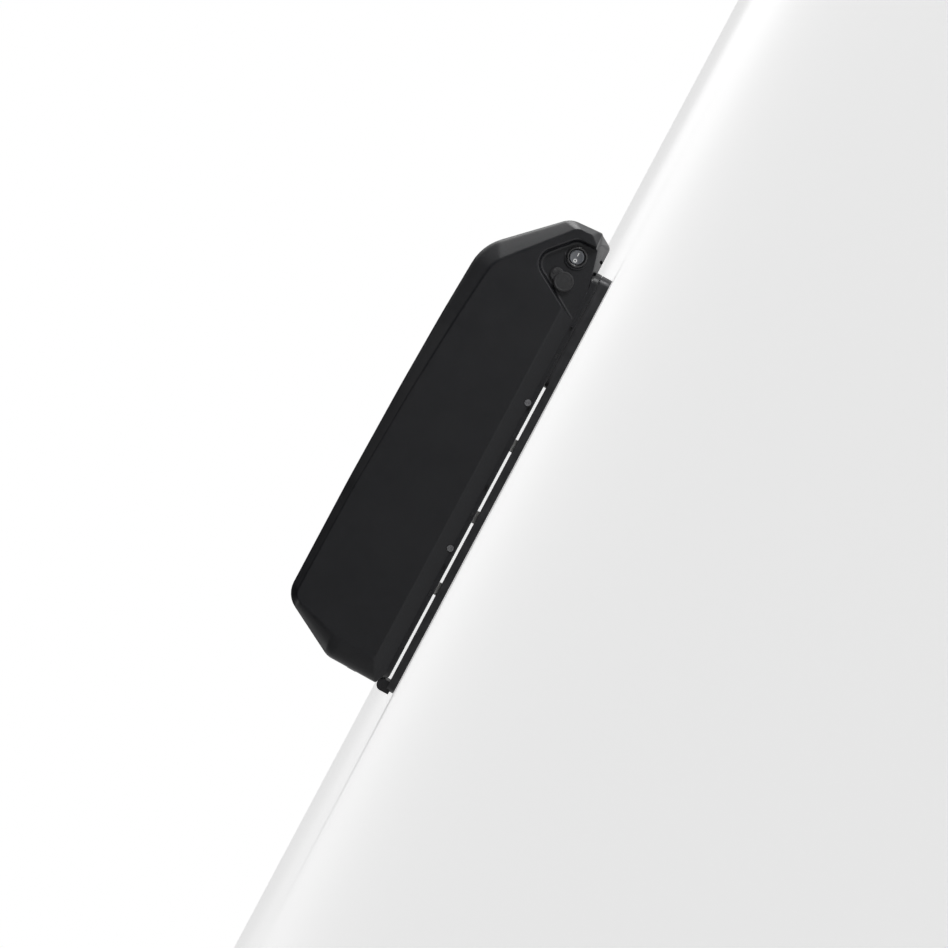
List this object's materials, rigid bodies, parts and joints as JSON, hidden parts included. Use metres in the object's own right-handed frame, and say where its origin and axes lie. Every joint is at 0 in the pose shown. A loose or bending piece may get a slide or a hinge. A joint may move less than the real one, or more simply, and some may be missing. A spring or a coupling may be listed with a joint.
{
  "type": "down tube battery pack",
  "caption": "Slim hard-cased battery pack on a bolt-on frame mount, with a slide-off lock, a capped charge port and a round rocker switch in a side recess.",
  "frame": {"origin": "middle of the mount's bolt line, on the face that lies on the frame tube", "axes": "+X along the tube towards the pack's nose, +Z away from the tube, -Y the side with the charge port and the switch"},
  "size_m": [0.3739, 0.09, 0.103],
  "materials": {
    "case_plastic": "fine grained satin black",
    "base_plastic": "moulded black",
    "plate_finish": "black anodised",
    "steel": "zinc plated",
    "screw_steel": "zinc plated",
    "black_plastic": "moulded black",
    "contact_brass": "bright",
    "seal_rubber": "matt",
    "cap_rubber": "matt",
    "cell_sleeve": "shrink sleeve",
    "nickel": "bright nickel",
    "insulation_paper": "barley paper",
    "foam": "closed cell foam",
    "circuit_board": "solder mask",
    "board_parts": "moulded parts",
    "heat_sink_metal": "bare",
    "ribbon_cable": "flat cable",
    "black_wire": "silicone wire",
    "red_wire": "silicone wire",
    "fuse_body": "translucent",
    "switch_plastic": "satin black",
    "rocker_plastic": "satin grey with pale marks",
    "lock_casting": "die cast",
    "lock_metal": "polished",
    "lens_plastic": "smoked",
    "indicator_light": "lit green"
  },
  "bodies": {
    "mount": {"mount_plate": "plate_finish", "striker_block": "plate_finish", "mount_hooks": "steel", "hook_screws": "screw_steel", "striker_bush": "steel", "terminal_block": "black_plastic", "terminal_blades": "contact_brass", "block_screws": "screw_steel"},
    "pack": {"upper_case": "case_plastic", "base_cover": "base_plastic", "case_screws": "screw_steel", "lock_screws": "screw_steel", "cell_holder_near": "black_plastic", "cell_holder_far": "black_plastic", "fuse_holder": "black_plastic", "discharge_receptacle": "black_plastic", "charge_socket": "black_plastic", "gauge_frame": "black_plastic", "receptacle_contacts": "contact_brass", "switch_terminals": "contact_brass", "base_gasket": "seal_rubber", "cap_anchor": "cap_rubber", "cells": "cell_sleeve", "nickel_strips_near": "nickel", "nickel_strips_far": "nickel", "charge_pin": "nickel", "charge_nut": "nickel", "insulation_sheets": "insulation_paper", "side_foam": "foam", "top_foam": "foam", "bms_board": "circuit_board", "gauge_board": "circuit_board", "bms_components": "board_parts", "bms_heat_sink": "heat_sink_metal", "balance_harness": "ribbon_cable", "lead_negative": "black_wire", "lead_positive": "red_wire", "fuse": "fuse_body", "switch_housing": "switch_plastic", "lock_housing": "lock_casting", "gauge_lens": "lens_plastic", "gauge_leds": "indicator_light"},
    "cap": {"charge_cap": "cap_rubber"},
    "rocker": {"rocker": "rocker_plastic"},
    "lock_barrel": {"lock_cylinder": "lock_metal"},
    "lock_bolt": {"lock_bolt": "lock_metal"},
    "gauge_button": {"gauge_button": "cap_rubber"}
  },
  "joints": [
    {"name": "pack_slide", "type": "slide", "parent": "mount", "child": "pack", "axis": [1, 0, 0], "range_m": [0, 0.016]},
    {"name": "cap_hinge", "type": "hinge", "parent": "pack", "child": "cap", "pos_m": [0.18615, -0.0399, 0.04003], "axis": [-0.9368, 0, 0.3499], "range_deg": [0, 115]},
    {"name": "rocker_tilt", "type": "hinge", "parent": "pack", "child": "rocker", "pos_m": [0.2036, -0.0369, 0.0313], "axis": [0, 0, 1], "range_deg": [0, 18]},
    {"name": "key_turn", "type": "hinge", "parent": "pack", "child": "lock_barrel", "pos_m": [0.192, 0.03, 0.038], "axis": [0, 1, 0], "range_deg": [0, 90]},
    {"name": "bolt_drop", "type": "slide", "parent": "pack", "child": "lock_bolt", "axis": [0, 0, -1], "range_m": [0, 0.00707]},
    {"name": "gauge_press", "type": "slide", "parent": "pack", "child": "gauge_button", "axis": [0, -1, 0], "range_m": [0, 0.0012], "stiffness_N_per_m": 500, "springref_m": -0.0006}
  ],
  "couplings": [
    {"joint": "key_turn", "follows": "bolt_drop", "rad_per_m": 222.14}
  ]
}
